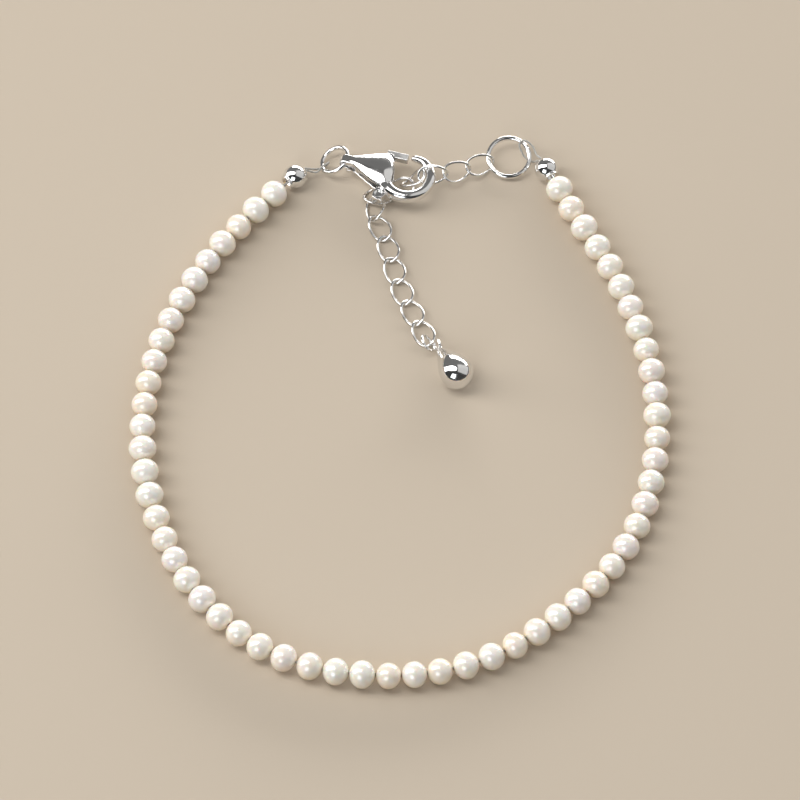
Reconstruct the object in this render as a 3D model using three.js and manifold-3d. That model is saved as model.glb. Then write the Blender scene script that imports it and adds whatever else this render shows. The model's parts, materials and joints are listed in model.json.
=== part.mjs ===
// Pearl bracelet, fastened and lying flat: a string of pearls between two silver beads, a trigger
// clasp, and a curb chain whose free tail ends in a drop. Millimetres, +Z up. X runs from the clasp
// towards the end ring and Y from the middle of the string towards the clasp.

import * as THREE from 'three';
import { mergeVertices } from 'three/addons/utils/BufferGeometryUtils.js';
import Module from 'manifold-3d';

const wasm = await Module();
wasm.setup();

// Pearls and their thread
const PEARL_DIAMETER = 2.76;
const PEARL_SPREAD = 0.11;
const PEARL_LENGTH = 2.59;
const PEARL_SPACE = 0.03;
const PEARL_LEAN = 3.5;
const PEARL_SEED = 7;
const DRILL_DIAMETER = 0.5;
const THREAD_DIAMETER = 0.23;
const THREAD_SEATING = 0.5;

// Where the middle of the string lies, from the left silver bead round to the right one
const ROUTE = [
  { x: -14.8, y: 21.6 }, { x: -19.6, y: 15.5 }, { x: -24.2, y: 6.0 }, { x: -25.9, y: -4.0 },
  { x: -24.5, y: -13.8 }, { x: -20.0, y: -23.1 }, { x: -12.7, y: -29.6 }, { x: -3.1, y: -32.1 },
  { x: 7.2, y: -30.8 }, { x: 15.8, y: -25.5 }, { x: 22.6, y: -17.5 }, { x: 25.6, y: -7.6 },
  { x: 25.4, y: 2.6 }, { x: 22.4, y: 12.7 }, { x: 17.4, y: 22.1 },
];

// Silver beads
const BEAD_DIAMETER = 2.5;
const BEAD_BORE = 0.86;
const COLLAR_DIAMETER = 1.36;
const COLLAR_LENGTH = 0.3;

// Rings
const CLASP_RING_DIAMETER = 3.5;
const CLASP_RING_WIRE = 0.48;
const END_RING_DIAMETER = 4.8;
const END_RING_WIRE = 0.52;
const DROP_RING_DIAMETER = 2.1;
const DROP_RING_WIRE = 0.3;

// Clasp, in its own frame: X from the eye to the hook, Z up through the plates, 0 at the hook's centre
const HOOK_INNER_RADIUS = 1.9;
const HOOK_WIDTH = 1.0;
const HOOK_THICKNESS = 0.95;
const HOOK_TIP_ANGLE = 97;
const HOOK_ROOT_ANGLE = -132;
const CLASP_LENGTH = 10.1;
const CLASP_THICKNESS = 2.15;
const CLASP_HEADING = -16.5;
const CLASP_TILT = 3;
const HOOK_PLACE = { x: 0.77, y: 25.26, z: 2 };
const EYE_BORE = 0.84;
const EYE_WALL = 0.2;
const EYE_WIDTH = 0.7;
const EYE_HEIGHT = 0.42;
const LEVER_THICKNESS = 0.8;
const LEVER_OPENING = 28;
const LEVER_PIVOT = { x: -2.75, y: 1.2 };
const LEVER_HUB_DIAMETER = 1.15;
const LEVER_ARM_WIDTH = 0.75;
const GATE_WIDTH = 0.7;
const GATE_CLEARANCE = 0.13;
const TAB_WIDTH = 1.25;
const TAB_LENGTH = 1.15;
const TAB_HEIGHT = 0.95;
const PIN_DIAMETER = 0.55;
const RUNNING_CLEARANCE = 0.06;

// Curb chain
const LINK_LENGTH = 3.3;
const LINK_WIRE = 0.27;
const LINK_CLEARANCE = 0.07;
const LINK_TWIST = 0.24;
const HOOK_PASSAGE = 0.258;

// Drop
const DROP_DIAMETER = 3.5;
const DROP_LENGTH = 5.5;
const DROP_EYE_DIAMETER = 1.25;
const DROP_EYE_WIRE = 0.27;

// Facets
const PEARL_SIDES = 12;
const BEAD_SIDES = 12;
const WIRE_SIDES = 6;
const LINK_STEPS = 16;
const RING_STEPS = 16;

const silver = new THREE.MeshStandardMaterial({ color: 0xd9dade, roughness: 0.12, metalness: 1 });
const chainSilver = new THREE.MeshStandardMaterial({ color: 0xd2d2d2, roughness: 0.18, metalness: 1 });
const pearl = new THREE.MeshStandardMaterial({ color: 0xe9dfcd, roughness: 0.25, metalness: 0 });
const silk = new THREE.MeshStandardMaterial({ color: 0xb9b4aa, roughness: 0.6, metalness: 0 });

const rad = THREE.MathUtils.degToRad;
const UP = new THREE.Vector3(0, 0, 1);

// The direction at a heading in the XY plane, raised by a climb, both in degrees
function direction(heading, climb = 0) {
  const flat = Math.cos(rad(climb));
  const [x, y] = [Math.cos(rad(heading)), Math.sin(rad(heading))];
  return new THREE.Vector3(flat * x, flat * y, Math.sin(rad(climb)));
}

// A turn that carries X to the heading and climb, and raises the left side by the roll
function attitude(heading, climb = 0, roll = 0) {
  return new THREE.Quaternion().setFromEuler(new THREE.Euler(rad(roll), rad(-climb), rad(heading), 'ZYX'));
}

// A closed body from rings of points; the ends are capped, or joined to each other if it is a loop
function skin(rings, isLoop) {
  const sides = rings[0].length;
  const positions = rings.flat().flatMap((point) => point.toArray());
  const index = [];
  const stretches = isLoop ? rings.length : rings.length - 1;
  for (let ring = 0; ring < stretches; ring += 1) {
    const near = ring * sides;
    const far = ((ring + 1) % rings.length) * sides;
    for (let side = 0; side < sides; side += 1) {
      const next = (side + 1) % sides;
      index.push(near + side, near + next, far + next, near + side, far + next, far + side);
    }
  }
  if (!isLoop) {
    const last = (rings.length - 1) * sides;
    for (let side = 1; side < sides - 1; side += 1) {
      index.push(0, side + 1, side);
      index.push(last, last + side, last + side + 1);
    }
  }
  const geometry = new THREE.BufferGeometry();
  geometry.setAttribute('position', new THREE.Float32BufferAttribute(positions, 3));
  geometry.setIndex(index);
  return geometry;
}

// The points of an oval section at a place on a curve, going round its tangent
function section(centre, tangent, width, thickness, sides) {
  const across = new THREE.Vector3().crossVectors(UP, tangent).normalize();
  const upward = new THREE.Vector3().crossVectors(tangent, across).normalize();
  const points = [];
  for (let side = 0; side < sides; side += 1) {
    const angle = (2 * Math.PI * side) / sides - Math.PI / 2;
    const point = centre.clone();
    point.addScaledVector(across, (Math.cos(angle) * width) / 2);
    point.addScaledVector(upward, (Math.sin(angle) * thickness) / 2);
    points.push(point);
  }
  return points;
}

// A wire bent round a closed curve that is given by a function of the angle
function wireLoop(pointAt, wire, steps) {
  const rings = [];
  for (let step = 0; step < steps; step += 1) {
    const angle = (2 * Math.PI * step) / steps;
    const tangent = pointAt(angle + 0.01).sub(pointAt(angle - 0.01)).normalize();
    rings.push(section(pointAt(angle), tangent, wire, wire, WIRE_SIDES));
  }
  return skin(rings, true);
}

function roundRing(diameter, wire) {
  const radius = (diameter - wire) / 2;
  const pointAt = (angle) => new THREE.Vector3(radius * Math.cos(angle), radius * Math.sin(angle), 0);
  return wireLoop(pointAt, wire, RING_STEPS);
}

function toSolid(geometry) {
  const bare = geometry.clone();
  bare.deleteAttribute('normal');
  bare.deleteAttribute('uv');
  const merged = mergeVertices(bare, 1e-5);
  const vertProperties = new Float32Array(merged.attributes.position.array);
  const triVerts = new Uint32Array(merged.index.array);
  return new wasm.Manifold(new wasm.Mesh({ numProp: 3, vertProperties, triVerts }));
}

function toGeometry(solid) {
  const mesh = solid.getMesh();
  const geometry = new THREE.BufferGeometry();
  geometry.setAttribute('position', new THREE.Float32BufferAttribute(mesh.vertProperties, 3));
  geometry.setIndex(new THREE.Uint32BufferAttribute(mesh.triVerts, 1));
  return geometry;
}

// A plate with the outline's corners in XY, from one height to another, its rims rounded by the bevel
function plate(corners, low, high, bevel = 0) {
  const shape = new THREE.Shape(corners.map(([x, y]) => new THREE.Vector2(x, y)));
  const options = { depth: high - low - 2 * bevel, bevelEnabled: bevel > 0, steps: 1 };
  options.bevelThickness = bevel;
  options.bevelSize = bevel;
  options.bevelOffset = -bevel;
  options.bevelSegments = 2;
  const geometry = new THREE.ExtrudeGeometry(shape, options);
  geometry.translate(0, 0, low + bevel);
  return toSolid(geometry);
}

function disc(x, y, radius, low, high, sides) {
  const geometry = new THREE.CylinderGeometry(radius, radius, high - low, sides);
  geometry.rotateX(Math.PI / 2);
  geometry.translate(x, y, (low + high) / 2);
  return toSolid(geometry);
}

const bracelet = new THREE.Group();

function addPiece(parent, name, geometry, material) {
  const mesh = new THREE.Mesh(geometry, material);
  mesh.name = name;
  parent.add(mesh);
  return mesh;
}

// Clasp

const clasp = new THREE.Group();
clasp.position.set(HOOK_PLACE.x, HOOK_PLACE.y, HOOK_PLACE.z);
clasp.quaternion.copy(attitude(CLASP_HEADING, CLASP_TILT));
bracelet.add(clasp);

function claspPlace(x, y, z = 0) {
  return new THREE.Vector3(x, y, z).applyQuaternion(clasp.quaternion).add(clasp.position);
}

const hookOuterRadius = HOOK_INNER_RADIUS + HOOK_WIDTH;
const eyeEnd = hookOuterRadius - CLASP_LENGTH;
const halfClasp = CLASP_THICKNESS / 2;
const halfLever = LEVER_THICKNESS / 2;
const eyeFold = EYE_BORE / 2 + EYE_WALL;
const eyeCentre = eyeEnd + eyeFold;

function onCircle(radius, degrees) {
  return [radius * Math.cos(rad(degrees)), radius * Math.sin(rad(degrees))];
}

// The hook: a bar bent round the opening that thins from its root to its tip
const HOOK_SECTIONS = [
  { along: 0, width: 1.3, thickness: 1.7 },
  { along: 0.18, width: 1.06, thickness: 1.5 },
  { along: 0.36, width: 1, thickness: 1.3 },
  { along: 0.52, width: 1, thickness: 1 },
  { along: 0.72, width: 1, thickness: 1 },
  { along: 0.88, width: 0.84, thickness: 0.9 },
  { along: 0.97, width: 0.6, thickness: 0.72 },
  { along: 1, width: 0.34, thickness: 0.42 },
];

function hookSection(along, column) {
  const after = HOOK_SECTIONS.findIndex((row) => row.along >= along);
  const high = HOOK_SECTIONS[Math.max(after, 1)];
  const low = HOOK_SECTIONS[Math.max(after, 1) - 1];
  const share = (along - low.along) / (high.along - low.along);
  return THREE.MathUtils.lerp(low[column], high[column], share);
}

function hookPoint(along) {
  const degrees = THREE.MathUtils.lerp(HOOK_ROOT_ANGLE, HOOK_TIP_ANGLE, along);
  const pinch = 1 - 0.07 * THREE.MathUtils.smoothstep(along, 0.8, 1);
  const radius = (HOOK_INNER_RADIUS + HOOK_WIDTH / 2) * pinch;
  return new THREE.Vector3(...onCircle(radius, degrees), 0);
}

function hookSolid() {
  const rings = [];
  const stations = [0, 0.08, 0.16, 0.24, 0.32, 0.4, 0.48, 0.56, 0.64, 0.72, 0.8, 0.87, 0.93, 0.975, 1];
  for (const along of stations) {
    const tangent = hookPoint(along + 0.01).sub(hookPoint(along - 0.01)).normalize();
    const width = HOOK_WIDTH * hookSection(along, 'width');
    const thickness = HOOK_THICKNESS * hookSection(along, 'thickness');
    rings.push(section(hookPoint(along), tangent, width, thickness, 10));
  }
  return toSolid(skin(rings, false));
}

// The body's outline from above; the lower edge ends on the hook's outer circle
const rootOuter = onCircle(hookOuterRadius, HOOK_ROOT_ANGLE + 12);
const rootInner = onCircle(HOOK_INNER_RADIUS, HOOK_ROOT_ANGLE + 17);
const bodyOutline = [
  [eyeEnd, -EYE_WIDTH / 2],
  [eyeEnd + 1.5, -EYE_WIDTH / 2 - 0.06],
  [-4.0, -1.4],
  [-2.6, -2.06],
  rootOuter,
  rootInner,
  [-1.36, -1.1],
  [-1.42, -0.35],
  [-1.64, 0.8],
  [-1.94, 1.86],
  [-2.3, 2.08],
  [-3.4, 1.68],
  [-4.7, 1.06],
  [eyeEnd + 1.2, EYE_WIDTH / 2 + 0.04],
  [eyeEnd, EYE_WIDTH / 2],
];

// The body's outline from the side: a round fold at the eye, a low dome, thinner towards the hook
function sideOutline() {
  const points = [];
  for (let step = 0; step <= 8; step += 1) {
    const [x, z] = onCircle(eyeFold, 90 + (180 * step) / 8);
    points.push([eyeCentre + x, EYE_HEIGHT + z]);
  }
  points.push([eyeCentre + eyeFold, EYE_HEIGHT - eyeFold], [eyeCentre + 1.5 * eyeFold, -halfClasp]);
  points.push([-2.3, -halfClasp], [-1.2, -0.84 * halfClasp], [0, -0.6 * halfClasp]);
  points.push([0, 0.6 * halfClasp], [-1.1, 0.86 * halfClasp], [-2.4, halfClasp], [-4.4, 0.97 * halfClasp]);
  return points;
}

function sideSlab() {
  const shape = new THREE.Shape(sideOutline().map(([x, z]) => new THREE.Vector2(x, z)));
  const depth = 4 * hookOuterRadius;
  const geometry = new THREE.ExtrudeGeometry(shape, { depth, bevelEnabled: false, steps: 1 });
  geometry.rotateX(Math.PI / 2);
  geometry.translate(0, depth / 2, 0);
  return toSolid(geometry);
}

// The lever's outline, grown by a clearance, as the hub, the gate, the arm and the tab's neck
const gateEnd = hookPoint(1).x - 0.12 - GATE_CLEARANCE;
const gateTop = hookPoint(1).y + GATE_WIDTH * 0.28;
const edgeSlope = THREE.MathUtils.radToDeg(Math.atan2(rootOuter[1] + 1.42, rootOuter[0] + 4.0));
const tabPlace = { x: -2.05, y: -2.45 };

// A straight bar between two places that runs past both by the overhang
function bar(from, to, width, low, high, overhang) {
  const length = Math.hypot(to.x - from.x, to.y - from.y) + 2 * overhang;
  const geometry = new THREE.BoxGeometry(length, width, high - low);
  geometry.rotateZ(Math.atan2(to.y - from.y, to.x - from.x));
  geometry.translate((from.x + to.x) / 2, (from.y + to.y) / 2, (low + high) / 2);
  return toSolid(geometry);
}

function leverBlank(grow) {
  const low = -halfLever - grow;
  const high = halfLever + grow;
  const gateMiddle = gateTop - GATE_WIDTH / 2;
  const gateStart = { x: LEVER_PIVOT.x, y: gateMiddle };
  const hub = disc(LEVER_PIVOT.x, LEVER_PIVOT.y, LEVER_HUB_DIAMETER / 2 + grow, low, high, 14);
  const gate = bar(gateStart, { x: gateEnd, y: gateMiddle }, GATE_WIDTH + 2 * grow, low, high, grow);
  const arm = bar(LEVER_PIVOT, tabPlace, LEVER_ARM_WIDTH + 2 * grow, low, high, grow);
  return hub.add(gate).add(arm);
}

function thumbTab() {
  const half = TAB_WIDTH / 2;
  const corners = [
    [-half, 0], [-half * 0.92, -TAB_LENGTH * 0.6], [-half * 0.5, -TAB_LENGTH],
    [half * 0.5, -TAB_LENGTH], [half * 0.92, -TAB_LENGTH * 0.6], [half, 0],
  ];
  const tab = plate(corners, halfLever - TAB_HEIGHT, halfLever, 0);
  const dish = disc(0, -TAB_LENGTH * 0.42, TAB_WIDTH * 0.33, halfLever - 0.22, halfLever + 1, 12);
  const turned = tab.subtract(dish).rotate([0, 0, edgeSlope]);
  return turned.translate([tabPlace.x, tabPlace.y, 0]);
}

function turnAbout(solid, degrees) {
  const { x, y } = LEVER_PIVOT;
  return solid.translate([-x, -y, 0]).rotate([0, 0, degrees]).translate([x, y, 0]);
}

// The slot is the room that the lever sweeps between the plates
function leverSlot() {
  const blank = leverBlank(RUNNING_CLEARANCE);
  let slot = blank;
  for (const share of [0.2, 0.4, 0.6, 0.8, 1.03]) {
    slot = slot.add(turnAbout(blank, -share * LEVER_OPENING));
  }
  return slot;
}

function claspBody() {
  const blank = plate(bodyOutline, -halfClasp, halfClasp, 0.2).intersect(sideSlab());
  const bore = new THREE.CylinderGeometry(EYE_BORE / 2, EYE_BORE / 2, 4 * EYE_WIDTH, 12);
  bore.translate(eyeCentre, 0, EYE_HEIGHT);
  const pinHole = disc(
    LEVER_PIVOT.x, LEVER_PIVOT.y, PIN_DIAMETER / 2 + RUNNING_CLEARANCE, -2 * halfClasp, 2 * halfClasp, 12,
  );
  const whole = blank.add(hookSolid());
  return toGeometry(whole.subtract(toSolid(bore)).subtract(leverSlot()).subtract(pinHole));
}

function claspLever() {
  const holeRadius = PIN_DIAMETER / 2 + RUNNING_CLEARANCE;
  const hole = disc(LEVER_PIVOT.x, LEVER_PIVOT.y, holeRadius, -halfClasp, halfClasp, 12);
  return toGeometry(leverBlank(0).add(thumbTab()).subtract(hole));
}

addPiece(clasp, 'clasp_body', claspBody(), silver);
addPiece(clasp, 'clasp_lever', claspLever(), silver);
const pinGeometry = new THREE.CylinderGeometry(PIN_DIAMETER / 2, PIN_DIAMETER / 2, CLASP_THICKNESS, 12);
const pin = addPiece(clasp, 'clasp_pin', pinGeometry, silver);
pin.rotation.x = Math.PI / 2;
pin.position.set(LEVER_PIVOT.x, LEVER_PIVOT.y, 0);

// Chain

// A link is wide enough for the hook's bar to pass through it when it leans over the bar
const HOOKED_ROLL = 58.4;
const hookedReach = HOOK_THICKNESS / 2 + LINK_WIRE / 2 + HOOK_PASSAGE;
const linkWidth = (2 * hookedReach) / Math.sin(rad(HOOKED_ROLL)) + LINK_WIRE;
const tautPitch = LINK_LENGTH - 2 * LINK_WIRE;

function curbLink() {
  const length = (LINK_LENGTH - LINK_WIRE) / 2;
  const width = (linkWidth - LINK_WIRE) / 2;
  const pointAt = (angle) => new THREE.Vector3(
    length * Math.cos(angle), width * Math.sin(angle), LINK_TWIST * Math.sin(2 * angle),
  );
  return wireLoop(pointAt, LINK_WIRE, LINK_STEPS);
}

// Each row steps from the link before: the step's heading and share of the taut pitch, then the link's
// own heading, climb and roll, and the height of its middle as a share of the link's width
const TOWARDS_RING = [
  { step: 16.2, share: 0.944, heading: 21.5, climb: -14.4, roll: 45.8, height: 0.632 },
  { step: 23.7, share: 0.962, heading: 21.6, climb: -7, roll: 43.6, height: 0.48 },
];
const TAIL = [
  { step: 182.2, share: 0.784, heading: 181.3, climb: -42, roll: 22.3, height: 0.584 },
  { step: 202.1, share: 0.634, heading: 198.9, climb: -1.7, roll: -2, height: 0.186 },
  { step: 201.6, share: 0.846, heading: 190.4, climb: 0.4, roll: 0.7, height: 0.165 },
  { step: 261.3, share: 0.651, heading: 270.2, climb: 11, roll: 27.7, height: 0.268 },
  { step: 281.6, share: 0.796, heading: 295.7, climb: -1.3, roll: -1, height: 0.173 },
  { step: 289, share: 0.95, heading: 287, climb: 0, roll: 0, height: 0.165 },
  { step: 284, share: 0.965, heading: 284, climb: 0, roll: 0, height: 0.165 },
  { step: 287, share: 0.965, heading: 288, climb: 0, roll: 0, height: 0.165 },
  { step: 293, share: 0.965, heading: 294, climb: 0, roll: 0, height: 0.165 },
  { step: 294.5, share: 0.965, heading: 294, climb: 0, roll: 0, height: 0.165 },
];
const FIRST_TAIL_LINK = 4;

function addLink(number, place, heading, climb, roll) {
  const name = `chain_link_${String(number).padStart(2, '0')}`;
  const mesh = addPiece(bracelet, name, curbLink(), chainSilver);
  mesh.position.copy(place);
  mesh.quaternion.copy(attitude(heading, climb, roll));
  return mesh;
}

function walk(start, rows, firstNumber, way) {
  let place = start;
  let number = firstNumber;
  for (const row of rows) {
    const height = row.height * linkWidth;
    const reach = row.share * tautPitch;
    const rise = height - place.z;
    const flat = Math.sqrt(reach * reach - rise * rise);
    place = place.clone().addScaledVector(direction(row.step), flat).setZ(height);
    addLink(number, place, row.heading, row.climb, row.roll);
    number += way;
  }
  return place;
}

const HOOKED_ANGLE = 21.5;
const HOOKED_OFFSET = 0.085;
const HOOKED_SAG = 0.058;
const HOOKED_HEADING = 7.9;
const HOOKED_CLIMB = -4.9;
const hookedBar = claspPlace(...onCircle(HOOK_INNER_RADIUS + HOOK_WIDTH / 2, HOOKED_ANGLE));
const hookedWay = direction(HOOKED_HEADING, HOOKED_CLIMB);
const hookedPlace = hookedBar.clone().addScaledVector(hookedWay, HOOKED_OFFSET * tautPitch);
hookedPlace.z -= HOOKED_SAG;
addLink(FIRST_TAIL_LINK - 1, hookedPlace, HOOKED_HEADING, HOOKED_CLIMB, HOOKED_ROLL);
const lastToRing = walk(hookedPlace, TOWARDS_RING, FIRST_TAIL_LINK - 2, -1);
const lastOfTail = walk(hookedPlace, TAIL, FIRST_TAIL_LINK, 1);

// End ring
const endRingRadius = (END_RING_DIAMETER - END_RING_WIRE) / 2;
const END_RING_HEADING = 18.7;
const END_RING_HEIGHT = 0.99;
const END_RING_ROLL = 11;
const endRingReach = (LINK_LENGTH - LINK_WIRE) / 2 + endRingRadius - LINK_WIRE - END_RING_WIRE / 2;
const endRingPlace = lastToRing.clone()
  .addScaledVector(direction(END_RING_HEADING), endRingReach)
  .setZ(END_RING_HEIGHT);
const endRing = addPiece(bracelet, 'end_ring', roundRing(END_RING_DIAMETER, END_RING_WIRE), silver);
endRing.position.copy(endRingPlace);
endRing.quaternion.copy(attitude(0, 0, END_RING_ROLL));

// Clasp ring
const claspRingRadius = (CLASP_RING_DIAMETER - CLASP_RING_WIRE) / 2;
const CLASP_RING_HEADING = 152;
const eyePlace = claspPlace(eyeCentre, 0, EYE_HEIGHT);
const claspRingLow = CLASP_RING_WIRE / 2 + THREAD_DIAMETER + 2 * RUNNING_CLEARANCE;
const claspRingRise = (eyePlace.z - claspRingLow) / (2 * claspRingRadius);
const claspRingTilt = THREE.MathUtils.radToDeg(Math.asin(claspRingRise));
const claspRingWay = direction(CLASP_RING_HEADING, -claspRingTilt);
const claspRingPlace = eyePlace.clone().addScaledVector(claspRingWay, claspRingRadius);
const claspRing = addPiece(bracelet, 'clasp_ring', roundRing(CLASP_RING_DIAMETER, CLASP_RING_WIRE), silver);
claspRing.position.copy(claspRingPlace);
claspRing.quaternion.copy(attitude(CLASP_RING_HEADING, -claspRingTilt, -8));

// Silver beads and thread loops

function beadGeometry() {
  const radius = BEAD_DIAMETER / 2;
  const bore = BEAD_BORE / 2;
  const collar = COLLAR_DIAMETER / 2;
  const start = Math.asin(bore / radius);
  const end = Math.PI - Math.asin(collar / radius);
  const collarEnd = -Math.sqrt(radius * radius - collar * collar) - COLLAR_LENGTH * 0.45;
  const profile = [new THREE.Vector2(bore, collarEnd)];
  profile.push(new THREE.Vector2(bore, radius * Math.cos(start)));
  for (let step = 1; step <= 8; step += 1) {
    const angle = THREE.MathUtils.lerp(start, end, step / 8);
    profile.push(new THREE.Vector2(radius * Math.sin(angle), radius * Math.cos(angle)));
  }
  profile.push(new THREE.Vector2(collar, collarEnd + 0.05));
  profile.push(new THREE.Vector2(collar - 0.08, collarEnd));
  profile.push(new THREE.Vector2(bore, collarEnd));
  const geometry = new THREE.LatheGeometry(profile.reverse(), BEAD_SIDES);
  geometry.rotateZ(-Math.PI / 2);
  return geometry;
}

// Where each bead lies from the middle of its ring, where its bore points, and the way of its thread
// round the ring's wire: the angle on the ring, and how far outside and above the wire's middle
const LEFT_SEAT = { towards: 205.9, away: 4.45, heading: 42, firstLeg: 1 };
const LEFT_WAY = [
  { at: 37, out: 0.8, lift: 0.15 }, { at: 29, out: 0.1, lift: -0.46 }, { at: 28, out: -0.55, lift: -0.2 },
  { at: 42, out: -0.85, lift: 0.1 }, { at: 56, out: -0.5, lift: 0.36 }, { at: 58, out: 0, lift: 0.47 },
  { at: 54, out: 0.75, lift: 0.3 },
];
const RIGHT_SEAT = { towards: -21.7, away: 4.17, heading: 117, firstLeg: -1 };
const RIGHT_WAY = [
  { at: 4, out: 0.75, lift: 0.1 }, { at: 24, out: 0.6, lift: 0.1 }, { at: 41, out: 0.3, lift: 0.42 },
  { at: 50, out: -0.1, lift: 0.5 }, { at: 45, out: -0.55, lift: 0.3 }, { at: 26, out: -0.65, lift: -0.05 },
  { at: 7, out: -0.5, lift: -0.32 }, { at: -4, out: -0.05, lift: -0.48 }, { at: -9, out: 0.45, lift: -0.35 },
];
const THREAD_STATIONS = 30;

function threadLoop(mouth, heading, firstLeg, ring, ringRadius, way) {
  const leg = (THREAD_DIAMETER + LINK_CLEARANCE) / 2;
  const across = direction(heading + 90, 0);
  const inward = direction(heading, 0).multiplyScalar(-THREAD_SEATING);
  const start = mouth.clone().addScaledVector(across, firstLeg * leg);
  const end = mouth.clone().addScaledVector(across, -firstLeg * leg);
  const round = way.map(({ at, out, lift }) => (
    new THREE.Vector3(...onCircle(ringRadius + out, at), lift)
      .applyQuaternion(ring.quaternion)
      .add(ring.position)
  ));
  const points = [start.clone().add(inward), start, ...round, end, end.clone().add(inward)];
  const curve = new THREE.CatmullRomCurve3(points, false, 'centripetal');
  const rings = [];
  for (let station = 0; station <= THREAD_STATIONS; station += 1) {
    const along = station / THREAD_STATIONS;
    const place = curve.getPointAt(along);
    rings.push(section(place, curve.getTangentAt(along), THREAD_DIAMETER, THREAD_DIAMETER, WIRE_SIDES));
  }
  return skin(rings, false);
}

// Adds the bead and the loop of thread that ties it to the ring, and returns the bead's middle
function addBeadAndLoop(side, seat, ring, ringRadius, way) {
  const middle = ring.position.clone().addScaledVector(direction(seat.towards), seat.away);
  middle.z = BEAD_DIAMETER / 2;
  const bead = addPiece(bracelet, `bead_${side}`, beadGeometry(), silver);
  bead.position.copy(middle);
  bead.quaternion.copy(attitude(seat.heading));
  const mouth = middle.clone().addScaledVector(direction(seat.heading), BEAD_DIAMETER / 2);
  const geometry = threadLoop(mouth, seat.heading, seat.firstLeg, ring, ringRadius, way);
  addPiece(bracelet, `thread_loop_${side}`, geometry, silk);
  return middle;
}

const leftBead = addBeadAndLoop('left', LEFT_SEAT, claspRing, claspRingRadius, LEFT_WAY);
const rightBead = addBeadAndLoop('right', RIGHT_SEAT, endRing, endRingRadius, RIGHT_WAY);

// Pearls

// A share from -1 to 1 that stays the same for a pearl from one build to the next
function chance(number, salt) {
  const wave = Math.sin(number * 12.9898 + salt * 78.233 + PEARL_SEED * 37.719) * 43758.5453;
  return 2 * (wave - Math.floor(wave)) - 1;
}

const beadReach = BEAD_DIAMETER / 2 + COLLAR_LENGTH / 2;
const LEFT_SPACE = 0.42;
const RIGHT_SPACE = 0.12;
const routePoints = ROUTE.map(({ x, y }) => new THREE.Vector3(x, y, 0));
const routeEnds = [leftBead, rightBead].map((bead) => bead.clone().setZ(0));
const route = new THREE.CatmullRomCurve3([routeEnds[0], ...routePoints, routeEnds[1]]);
route.arcLengthDivisions = 2000;
const routeLength = route.getLength();
const stringStart = beadReach + LEFT_SPACE;
const stringLength = routeLength - stringStart - beadReach - RIGHT_SPACE;
const pearlCount = Math.round(stringLength / (PEARL_LENGTH + PEARL_SPACE));

const pearls = [];
for (let number = 0; number < pearlCount; number += 1) {
  const growth = (PEARL_SPREAD * chance(number, 1)) / PEARL_DIAMETER;
  const length = PEARL_LENGTH * (1 + growth + 0.02 * chance(number, 2));
  pearls.push({ diameter: PEARL_DIAMETER * (1 + growth), length, lean: PEARL_LEAN * chance(number, 3) });
}
const spaces = (pearlCount - 1) * PEARL_SPACE;
const lengths = pearls.reduce((sum, { length }) => sum + length, 0);
const fit = (stringLength - spaces) / lengths;

let reached = stringStart;
for (const one of pearls) {
  one.length *= fit;
  const middle = reached + one.length / 2;
  one.centre = route.getPointAt(middle / routeLength).setZ(one.diameter / 2);
  const tangent = route.getTangentAt(middle / routeLength);
  one.axis = tangent.applyAxisAngle(UP, rad(one.lean));
  reached += one.length + PEARL_SPACE;
}

const PEARL_RINGS = [150, 122, 90, 58, 30];

function pearlRings({ centre, axis, length, diameter }) {
  return PEARL_RINGS.map((degrees) => {
    const place = centre.clone().addScaledVector(axis, (Math.cos(rad(degrees)) * length) / 2);
    const width = diameter * Math.sin(rad(degrees));
    return section(place, axis, width, width, PEARL_SIDES);
  });
}

function poleOf({ centre, axis, length }, way) {
  return centre.clone().addScaledVector(axis, (way * length) / 2);
}

// The bare thread between two pearls, as the drilled hole's width
function neckBetween(before, after) {
  const place = poleOf(before, 1).add(poleOf(after, -1)).multiplyScalar(0.5);
  const tangent = before.axis.clone().add(after.axis).normalize();
  return section(place, tangent, DRILL_DIAMETER, DRILL_DIAMETER, PEARL_SIDES);
}

// The thread from inside a silver bead to the drilled hole of the pearl beside it, in the string's order
function threadEnd(bead, outermost, way) {
  const pole = poleOf(outermost, way);
  const tangent = bead.clone().sub(pole).normalize().multiplyScalar(way);
  const inside = bead.clone().addScaledVector(tangent, -way * (BEAD_DIAMETER / 2 - THREAD_SEATING));
  const places = [inside, pole];
  const ends = places.map((place) => section(place, tangent, DRILL_DIAMETER, DRILL_DIAMETER, PEARL_SIDES));
  return way < 0 ? ends : ends.reverse();
}

const middlePearl = Math.floor(pearlCount / 2);
const meeting = neckBetween(pearls[middlePearl - 1], pearls[middlePearl]);

function stringOf(half, firstRings, lastRings) {
  const rings = [...firstRings];
  half.forEach((one, number) => {
    rings.push(...pearlRings(one));
    const next = half[number + 1];
    rings.push(...(next ? [neckBetween(one, next)] : lastRings));
  });
  return skin(rings, false);
}

const leftEnd = threadEnd(leftBead, pearls[0], -1);
const rightEnd = threadEnd(rightBead, pearls[pearlCount - 1], 1);
const leftHalf = stringOf(pearls.slice(0, middlePearl), leftEnd, [meeting]);
const rightHalf = stringOf(pearls.slice(middlePearl), [meeting.map((point) => point.clone())], rightEnd);
addPiece(bracelet, 'pearls_left', leftHalf, pearl);
addPiece(bracelet, 'pearls_right', rightHalf, pearl);

// Drop ring and drop

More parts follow.
